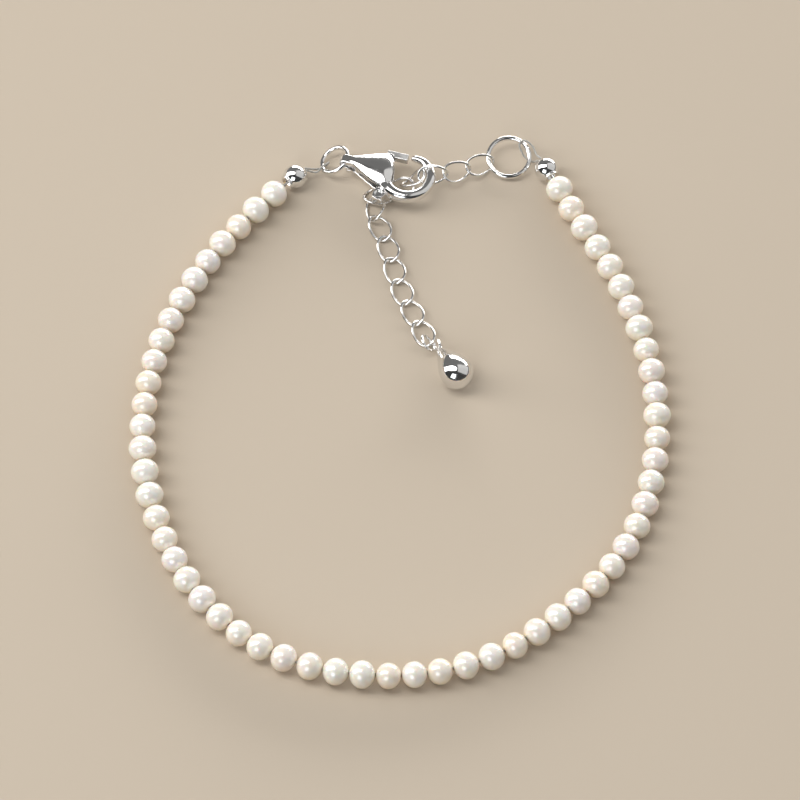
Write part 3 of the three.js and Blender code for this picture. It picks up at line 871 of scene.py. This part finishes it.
@dataclass
class WireRing:
    """A round ring of round wire with a fine soldered seam."""

    node: str
    diameter: float
    wire: float
    slot: Slot
    seam_at: float = 2.4
    seam_depth: float = 0.05
    seam_width: float = 0.03
    steps: int = 128
    sides: int = 24

    @property
    def radius(self) -> float:
        """The radius of the wire's middle."""
        return (self.diameter - self.wire) / 2

    def stance(self) -> Stance:
        """Finds where the ring stands."""
        return Stance.of_points(node_points(self.node))

    def build(self, palette: Palette) -> Stance:
        """Builds and dresses the ring.

        Args:
            palette: The finishes.

        Returns:
            Where the ring stands.
        """
        stance = self.stance()
        angles = np.arange(self.steps) * 2 * math.pi / self.steps
        circle = np.stack([np.cos(angles), np.sin(angles), 0 * angles], axis=1) * self.radius
        pinch = 1 - self.seam_depth * np.exp(-(((angles - self.seam_at) / self.seam_width) ** 2))

        def outline(station: int, around: Array) -> Array:
            """Gives the wire's round section, which is pinched at the seam."""
            size = self.wire / 2 * pinch[station]
            return np.stack([np.cos(around), np.sin(around)], axis=1) * size

        surface = sweep(stance.place(circle), outline, self.sides, True, stance.upward)
        piece = add_object(self.node, surface)
        finish = palette.silver if self.slot is Slot.SILVER else palette.chain
        dress(piece, finish, Body.ROOT, [self.node])
        return stance


@dataclass
class CurbLink:
    """One twisted link of the chain, of wire that is pressed a little flat."""

    number: int
    length: float = 3.3
    width: float = 2.31
    wire: float = 0.275
    twist: float = 0.24
    flatness: float = 0.95
    squareness: float = 2.6
    steps: int = 96
    sides: int = 16

    @property
    def node(self) -> str:
        """The solid that this link replaces."""
        return f"chain_link_{self.number:02d}"

    def build(self, palette: Palette) -> None:
        """Builds and dresses the link.

        Args:
            palette: The finishes.
        """
        stance = Stance.of_points(node_points(self.node))
        angles = np.arange(self.steps) * 2 * math.pi / self.steps
        bent = np.stack([
            (self.length - self.wire) / 2 * np.cos(angles), (self.width - self.wire) / 2 * np.sin(angles),
            self.twist * np.sin(2 * angles),
        ], axis=1)
        section = oval(self.wire, self.wire * self.flatness, self.squareness)
        surface = sweep(stance.place(bent), section, self.sides, True, stance.upward)
        piece = add_object(self.node, surface)
        dress(piece, palette.chain, Body.ROOT, [self.node])


@dataclass
class ThreadLoop:
    """The loop of thread that ties a silver bead to its ring.

    Its way round the ring has rows of degrees round the ring from the bead's side, millimetres outside the
    wire's middle and millimetres above the ring's plane.
    """

    side: Side
    ring: Stance
    ring_radius: float
    way: tuple[Row, ...]
    bead: SilverBead
    thickness: float = 0.2
    ply: float = 0.03
    plies: int = 2
    lay: float = 0.55
    first_leg: int = 1
    spread: float = 0.15
    seating: float = 0.5
    steps: int = 160
    sides: int = 14

    @property
    def node(self) -> str:
        """The solid that this loop replaces."""
        return f"thread_loop_{self.side.value}"

    def path(self) -> Array:
        """Lays the thread from the bead's bore, round the ring's wire and back."""
        bead = self.bead.stance()
        mouth = self.bead.diameter / 2
        leg = self.first_leg * self.spread
        start = bead.place([[mouth - self.seating, leg, 0], [mouth, leg, 0]])
        end = bead.place([[mouth, -leg, 0], [mouth - self.seating, -leg, 0]])
        toward = self.ring.inside(bead.centre[None])[0]
        zero = math.atan2(toward[1], toward[0])
        local = [
            [(self.ring_radius + out) * math.cos(zero + math.radians(turn)),
             (self.ring_radius + out) * math.sin(zero + math.radians(turn)), lift]
            for turn, out, lift in self.way
        ]
        return smooth_curve(np.vstack([start, self.ring.place(local), end]), self.steps)

    def build(self, palette: Palette) -> None:
        """Builds and dresses the loop, with its plies twisted together.

        Args:
            palette: The finishes.
        """
        path = self.path()

        def outline(station: int, around: Array) -> Array:
            """Gives the section of the twisted plies."""
            size = self.thickness / 2 + self.ply / 2 * np.cos(self.plies * around - station * self.lay)
            return np.stack([np.cos(around), np.sin(around)], axis=1) * size[:, None]

        surface = sweep(path, outline, self.sides, False, np.array(UP))
        piece = add_object(self.node, surface)
        dress(piece, palette.silk, Body.ROOT, [self.node])


@dataclass
class Clasp:
    """The trigger clasp: a folded domed body with its hook, the sprung lever and the pin.

    Its own axes run from the eye to the hook, across, and up through the plates, with 0 at the hook's
    middle, as in the solid.
    """

    heading: float = -16.5
    tilt: float = 3.0
    pivot: Pair = (-2.75, 1.2)
    hook_radius: float = 2.4
    hook_width: float = 1.0
    root_angle: float = -134.0
    tip_angle: float = 97.0
    half: float = 1.07
    slot: float = 0.47
    eye_x: float = -6.58
    eye_z: float = 0.42
    eye_radius: float = 0.52
    eye_wall: float = 0.2
    eye_width: float = 0.98
    eye_squareness: float = 4.0
    eye_crest: float = -6.25
    eye_steps: int = 25
    crown: float = 0.25
    thinnest: float = 0.07
    roll: float = 0.34
    roll_from: float = 0.78
    plate_steps: tuple[int, int] = (44, 30)
    edge_steps: int = 200
    hook_steps: int = 90
    hook_sides: int = 28
    hook_squareness: float = 2.3
    hook_crowding: float = 1.15
    tip_from: float = 0.8
    tip_inward: float = 0.07
    fold_sides: int = 20
    fold_steps: int = 70
    web: Row = (-1.86, -2.02, 0.8)
    web_size: float = 0.7
    web_steps: int = 12
    web_squareness: float = 2.5
    web_heading: Row = (0.8, 0.6, 0.0)
    grain: float = 0.045
    polishing: int = 5
    lever_grain: float = 0.035
    lever_polishing: int = 4
    tab_below: float = -2.1
    pin_sides: int = 32
    # Rows of place along and place across
    lower_edge: tuple[Pair, ...] = (
        (-6.5, -0.5), (-5.85, -0.48), (-5.3, -0.68), (-4.0, -1.42), (-2.7, -2.05), (-1.5, -2.5),
    )
    upper_edge: tuple[Pair, ...] = (
        (-6.5, 0.5), (-5.9, 0.5), (-4.7, 1.08), (-3.4, 1.68), (-2.35, 2.06), (-1.95, 1.86),
    )
    inner_edge: tuple[Pair, ...] = (
        (-1.5, -2.5), (-1.05, -1.95), (-1.36, -1.15), (-1.43, -0.35), (-1.64, 0.8), (-1.95, 1.86),
    )
    # Rows of place along and height, from the plates towards the eye's arc and back from it
    fold_front: tuple[Pair, ...] = ((-5.3, 0.84), (-5.8, 0.92))
    fold_back: tuple[Pair, ...] = ((-6.2, -0.16), (-5.8, -0.42), (-5.4, -0.66), (-5.0, -0.76))
    # Rows of distance along the pin and distance from its axis
    pin_rows: tuple[Pair, ...] = ((-0.86, 0.2), (-0.84, 0.26), (0.78, 0.26), (0.8, 0.2))
    # Rows of share of the way to the tip, width and height
    hook_rows: tuple[Row, ...] = (
        (0.0, 1.4, 1.62), (0.18, 1.26, 1.44), (0.32, 1.14, 1.26), (0.5, 1.04, 1.02), (0.72, 1.0, 0.96),
        (0.88, 0.86, 0.88), (0.95, 0.72, 0.76), (0.985, 0.5, 0.56), (1.0, 0.2, 0.24),
    )

    def stance(self) -> Stance:
        """Finds the clasp's axes from the lever's hinge."""
        joint = frame["joints"][0]
        hinge = np.array(joint["pos_m"]) / MM
        upward = -unit(np.array(joint["axis"], float))
        heading, tilt = math.radians(self.heading), math.radians(self.tilt)
        along = np.array([
            math.cos(heading) * math.cos(tilt), math.sin(heading) * math.cos(tilt), math.sin(tilt),
        ])
        turned = Stance.facing(np.zeros(3), along, upward)
        return Stance.facing(hinge - turned.place([*self.pivot, 0]), along, upward)

    def patch(self, is_front: bool) -> Surface:
        """Makes one of the two plates as a domed slab.

        Args:
            is_front: Whether it is the plate that faces up.

        Returns:
            Its closed surface in the clasp's axes.
        """
        along, across = self.plate_steps
        low = evenly(smooth_curve(self.lower_edge, self.edge_steps), along)
        high = evenly(smooth_curve(self.upper_edge, self.edge_steps), along)
        near = np.linspace(self.lower_edge[0], self.upper_edge[0], across)
        far = evenly(smooth_curve(self.inner_edge, self.edge_steps), across)
        s = np.linspace(0, 1, along)[:, None, None]
        t = np.linspace(0, 1, across)[None, :, None]
        corners = (1 - s) * (1 - t) * low[0] + (1 - s) * t * high[0]
        corners = corners + s * (1 - t) * low[-1] + s * t * high[-1]
        flat = (1 - t) * low[:, None] + t * high[:, None] + (1 - s) * near[None] + s * far[None] - corners
        half_width = np.linalg.norm(high - low, axis=1)[:, None] / 2
        beside = (2 * t[..., 0] - 1) * half_width
        fall = self.crown * beside**2 / half_width
        rolled = np.clip((s[..., 0] - self.roll_from) / (1 - self.roll_from), 0, 1) ** 2 * self.roll
        outer = self.half - np.minimum(fall + rolled, self.half - self.slot - self.thinnest)
        sign = 1 if is_front else -1
        top = np.dstack([flat, sign * outer])
        bottom = np.dstack([flat, np.full(outer.shape, sign * self.slot)])
        return self.slab(top, bottom, is_front)

    @staticmethod
    def slab(top: Array, bottom: Array, is_front: bool) -> Surface:
        """Closes a slab between two grids of points.

        Args:
            top: The grid of the outer face.
            bottom: The grid of the inner face.
            is_front: Whether the outer face looks up.

        Returns:
            Its surface.
        """
        rows, columns = top.shape[:2]
        points = np.vstack([top.reshape(-1, 3), bottom.reshape(-1, 3)])
        under = rows * columns
        faces: list[Face] = []
        for row in range(rows - 1):
            for column in range(columns - 1):
                a = row * columns + column
                quad = (a, a + columns, a + columns + 1, a + 1)
                faces.append(quad)
                faces.append(tuple(under + corner for corner in reversed(quad)))
        border = list(range(columns))
        border += [row * columns + columns - 1 for row in range(1, rows)]
        border += [(rows - 1) * columns + column for column in range(columns - 2, -1, -1)]
        border += [row * columns for row in range(rows - 2, 0, -1)]
        for here, after in zip(border, border[1:] + border[:1]):
            faces.append((here, after, under + after, under + here))
        if not is_front:
            faces = [tuple(reversed(face)) for face in faces]
        return points, faces

    def hook(self) -> Surface:
        """Makes the hook: a bar bent round the opening that thins towards its tip."""
        share = 1 - (1 - np.linspace(0, 1, self.hook_steps)) ** self.hook_crowding
        angles = np.radians(self.root_angle + share * (self.tip_angle - self.root_angle))
        rows = np.array(self.hook_rows)
        widths = np.interp(share, rows[:, 0], rows[:, 1]) * self.hook_width
        heights = np.interp(share, rows[:, 0], rows[:, 2])
        bent = np.clip((share - self.tip_from) / (1 - self.tip_from), 0, 1)
        radius = self.hook_radius * (1 - self.tip_inward * bent**2)
        path = np.stack([radius * np.cos(angles), radius * np.sin(angles), 0 * angles], axis=1)

        def outline(station: int, around: Array) -> Array:
            """Gives the hook's section, which thins towards the tip."""
            return oval(widths[station], heights[station], self.hook_squareness)(station, around)

        return sweep(path, outline, self.hook_sides, False, np.array(UP))

    def fold(self) -> Surface:
        """Makes the strip that folds round the eye and joins the two plates."""
        angles = np.radians(np.linspace(90, 270, self.eye_steps))
        circle = self.eye_radius * np.stack([np.cos(angles), np.sin(angles)], axis=1)
        arc = np.array([self.eye_x, self.eye_z]) + circle
        crest = (self.eye_crest, self.eye_z + self.eye_radius)
        side_view = np.vstack([self.fold_front, crest, arc, self.fold_back])
        path = smooth_curve(np.insert(side_view, 1, 0.0, axis=1), self.fold_steps)
        section = oval(self.eye_wall, self.eye_width, self.eye_squareness)
        return sweep(path, section, self.fold_sides, False, np.array(SIDEWAYS))

    def bridge(self) -> Surface:
        """Makes the web between the plates at the hook's root."""
        x, y, reach = self.web
        path = np.linspace([x, y, -reach], [x, y, reach], self.web_steps)
        section = oval(self.web_size, self.web_size, self.web_squareness)
        return sweep(path, section, self.fold_sides, False, unit(np.array(self.web_heading)))

    def build(self, palette: Palette) -> None:
        """Builds and dresses the body, the lever and the pin.

        Args:
            palette: The finishes.
        """
        stance = self.stance()
        points, faces = joined([self.patch(True), self.patch(False), self.hook(), self.fold(), self.bridge()])
        body = add_object("clasp_body", (stance.place(points), faces))
        melt(body, self.grain, self.polishing)
        dress(body, palette.silver, Body.ROOT, ["clasp_body"])
        self.build_lever(palette, stance)
        self.build_pin(palette, stance)

    def build_lever(self, palette: Palette, stance: Stance) -> None:
        """Softens the lever's own solid into a casting with a satin gate bar and a polished thumb tab.

        Args:
            palette: The finishes.
            stance: The clasp's axes.
        """
        source = frame["nodes"]["clasp_lever"].data.copy()
        lever = bpy.data.objects.new("clasp_lever_cast", source)
        bpy.context.scene.collection.objects.link(lever)
        melt(lever, self.lever_grain, self.lever_polishing)
        dress(lever, palette.satin, Body.LEVER, ["clasp_lever"])
        lever.data.materials.append(palette.silver)
        centres = np.array([face.center for face in lever.data.polygons]) / MM
        is_tab = stance.inside(centres)[:, 1] < self.tab_below
        lever.data.polygons.foreach_set("material_index", is_tab.astype(np.int32))

    def build_pin(self, palette: Palette, stance: Stance) -> None:
        """Makes the pin that the lever turns on, with its ends inside the plates.

        Args:
            palette: The finishes.
            stance: The clasp's axes.
        """
        base = stance.place([*self.pivot, 0])
        pin = Stance.facing(base, stance.upward, stance.along)
        piece = add_object("clasp_pin", lathe(np.array(self.pin_rows), pin, self.pin_sides))
        dress(piece, palette.silver, Body.ROOT, ["clasp_pin"])


@dataclass
class Drop:
    """The polished teardrop at the end of the tail, with its eye."""

    diameter: float = 3.4
    length: float = 5.46
    eye: float = 1.27
    wire: float = 0.34
    sides: int = 72
    steps: int = 70
    eye_steps: int = 48
    eye_sides: int = 16
    eye_reach: float = 1.0
    ball_reach: float = 2.2
    centring: float = 0.5
    point: float = 0.01
    # Rows of share of the length from the neck and share of the greatest radius
    outline: tuple[Pair, ...] = (
        (0.0, 0.15), (0.015, 0.21), (0.07, 0.29), (0.17, 0.44), (0.3, 0.625), (0.42, 0.81), (0.55, 0.948),
        (0.68, 1.0), (0.78, 0.95), (0.86, 0.845), (0.93, 0.64), (0.975, 0.4), (0.995, 0.17), (1.0, 0.02),
    )

    def stance(self) -> Stance:
        """Finds the drop's axis, from its eye to its round end, and its neck."""
        points = node_points("drop")
        ring = node_points("drop_ring").mean(0)
        spread = Stance.of_points(points)
        along = spread.along * (1 if np.dot(spread.centre - ring, spread.along) > 0 else -1)
        reach = (points - spread.centre) @ along
        eye_points = points[reach < reach.min() + self.eye_reach]
        across = Stance.of_points(eye_points).upward
        neck = spread.centre + along * (reach.max() - self.length)
        off_axis = (points - neck) - np.outer((points - neck) @ along, along)
        ball = off_axis[reach > reach.max() - self.ball_reach]
        neck = neck + (ball.max(0) + ball.min(0)) / 2 * self.centring
        return Stance.facing(neck, along, across)

    def build(self, palette: Palette) -> None:
        """Builds and dresses the drop.

        Args:
            palette: The finishes.
        """
        stance = self.stance()
        profile = [(share * self.length, radius * self.diameter / 2) for share, radius in self.outline]
        rows = smooth_curve(profile, self.steps)
        rows[:, 1] = np.maximum(rows[:, 1], self.point)
        body = lathe(rows, stance, self.sides)
        radius = (self.eye - self.wire) / 2
        angles = np.arange(self.eye_steps) * 2 * math.pi / self.eye_steps
        circle = np.stack([radius * np.cos(angles) - radius, radius * np.sin(angles), 0 * angles], axis=1)
        eye = sweep(stance.place(circle), oval(self.wire, self.wire), self.eye_sides, True, stance.upward)
        piece = add_object("drop", joined([body, eye]))
        dress(piece, palette.silver, Body.ROOT, ["drop"])


# Stage


@dataclass(frozen=True)
class Softbox:
    """A soft light that looks at the bracelet."""

    name: str
    azimuth: float
    elevation: float
    distance: float
    width: float
    height: float
    power: float
    colour: Row = (1.0, 1.0, 1.0)

    def build(self, aim: Vector) -> None:
        """Sets the light up.

        Args:
            aim: What it looks at, in metres.
        """
        light = bpy.data.lights.new(self.name, "AREA")
        light.shape = "RECTANGLE"
        light.size, light.size_y = self.width, self.height
        light.energy = self.power
        light.color = self.colour
        lamp = bpy.data.objects.new(self.name, light)
        azimuth, elevation = math.radians(self.azimuth), math.radians(self.elevation)
        level = math.cos(elevation)
        away = Vector((math.sin(azimuth) * level, math.cos(azimuth) * level, math.sin(elevation)))
        lamp.location = aim + away * self.distance
        lamp.rotation_euler = (-away).to_track_quat("-Z", "Y").to_euler()
        bpy.context.scene.collection.objects.link(lamp)


@dataclass
class Studio:
    """The camera, the floor and the light."""

    elevation: float = 60.0
    distance: float = 0.7
    lens: float = 311.9
    sensor: float = 36.0
    clip: Pair = (0.01, 20.0)
    aim: Row = (-0.0000235, 0.0014375, 0.0)
    floor_size: float = 3.0
    room_front: Row = (0.05, 0.05, 0.05)
    room_back: Row = (0.17, 0.168, 0.165)
    room_back_from: float = 0.5
    # Each with its name, heading and rise in degrees, distance, width, height, power in watts and colour
    boxes: tuple[Softbox, ...] = (
        Softbox("back_strip", 16, 13, 0.8, 1.0, 0.24, 6.5, (1.0, 0.985, 0.96)),
        Softbox("left_key", -80, 46, 0.7, 0.32, 1.2, 6.0, (1.0, 0.985, 0.965)),
        Softbox("right_card", 86, 46, 0.8, 0.95, 1.25, 2.2, (1.0, 0.985, 0.965)),
        Softbox("front_window", -153, 32, 0.75, 0.42, 0.4, 1.6, (0.93, 0.965, 1.0)),
    )

    def camera(self) -> None:
        """Sets the camera at the photograph's angle."""
        data = bpy.data.cameras.new("camera")
        data.sensor_width = self.sensor
        data.lens = self.lens
        data.clip_start, data.clip_end = self.clip
        camera = bpy.data.objects.new("camera", data)
        angle = math.radians(self.elevation)
        back = Vector((0.0, -math.cos(angle), math.sin(angle)))
        camera.location = Vector(self.aim) + back * self.distance
        camera.rotation_euler = (math.pi / 2 - angle, 0.0, 0.0)
        bpy.context.scene.collection.objects.link(camera)
        bpy.context.scene.camera = camera

    def floor(self, palette: Palette) -> None:
        """Lays the floor.

        Args:
            palette: The finishes.
        """
        half = self.floor_size / 2 / MM
        corners = np.array([[-half, -half, 0], [half, -half, 0], [half, half, 0], [-half, half, 0]], float)
        floor = add_object("floor", (corners, [(0, 1, 2, 3)]))
        floor.data.materials.append(palette.floor)

    def light(self) -> None:
        """Sets the lights, the room's dim glow and the plain rendering of tones."""
        bpy.context.scene.view_settings.view_transform = "Standard"
        for box in self.boxes:
            box.build(Vector(self.aim))
        world = bpy.data.worlds.new("room")
        world.use_nodes = True
        tree = world.node_tree
        place = tree.nodes.new("ShaderNodeTexCoord")
        parts = tree.nodes.new("ShaderNodeSeparateXYZ")
        ramp = tree.nodes.new("ShaderNodeValToRGB")
        ramp.color_ramp.elements[0].color = (*self.room_front, 1)
        ramp.color_ramp.elements[1].color = (*self.room_back, 1)
        ramp.color_ramp.elements[1].position = self.room_back_from
        tree.links.new(place.outputs["Generated"], parts.inputs["Vector"])
        tree.links.new(parts.outputs["Y"], ramp.inputs["Fac"])
        tree.links.new(ramp.outputs["Color"], tree.nodes["Background"].inputs["Color"])
        bpy.context.scene.world = world


# The bracelet


LINKS = 13
# The two threads' ways round their rings
LEFT_WAY: tuple[Row, ...] = (
    (-17, 0.8, 0.15), (-25, 0.1, -0.46), (-26, -0.55, -0.2), (-12, -0.85, 0.1), (2, -0.5, 0.36),
    (4, 0.0, 0.47), (0, 0.75, 0.3),
)
RIGHT_WAY: tuple[Row, ...] = (
    (26, 0.75, 0.1), (46, 0.6, 0.1), (63, 0.3, 0.42), (72, -0.1, 0.5), (67, -0.55, 0.3),
    (48, -0.65, -0.05), (29, -0.5, -0.32), (18, -0.05, -0.48), (13, 0.45, -0.35),
)


def main() -> None:
    """Builds the whole scene in order."""
    logging.basicConfig(level=logging.INFO, format="%(name)s %(message)s")
    studio = Studio()
    studio.camera()
    palette = Palette.built()
    studio.floor(palette)
    studio.light()

    left_bead, right_bead = SilverBead(Side.LEFT), SilverBead(Side.RIGHT)
    ends = {Side.LEFT: left_bead.build(palette), Side.RIGHT: right_bead.build(palette)}
    halves = [PearlString(Side.LEFT), PearlString(Side.RIGHT)]
    middle = (halves[0].centres[-1] + halves[1].centres[0]) / 2
    for half in halves:
        half.build(palette, ends[half.side], middle)

    clasp_ring = WireRing("clasp_ring", diameter=3.5, wire=0.48, slot=Slot.SILVER)
    end_ring = WireRing("end_ring", diameter=4.77, wire=0.52, slot=Slot.SILVER)
    clasp_stance, end_stance = clasp_ring.build(palette), end_ring.build(palette)
    WireRing("drop_ring", diameter=2.1, wire=0.3, slot=Slot.CHAIN).build(palette)
    ThreadLoop(Side.LEFT, clasp_stance, clasp_ring.radius, LEFT_WAY, left_bead).build(palette)
    ThreadLoop(Side.RIGHT, end_stance, end_ring.radius, RIGHT_WAY, right_bead, first_leg=-1).build(palette)

    Clasp().build(palette)
    for number in range(1, LINKS + 1):
        CurbLink(number).build(palette)
    Drop().build(palette)


if __name__ == "__main__":
    main()
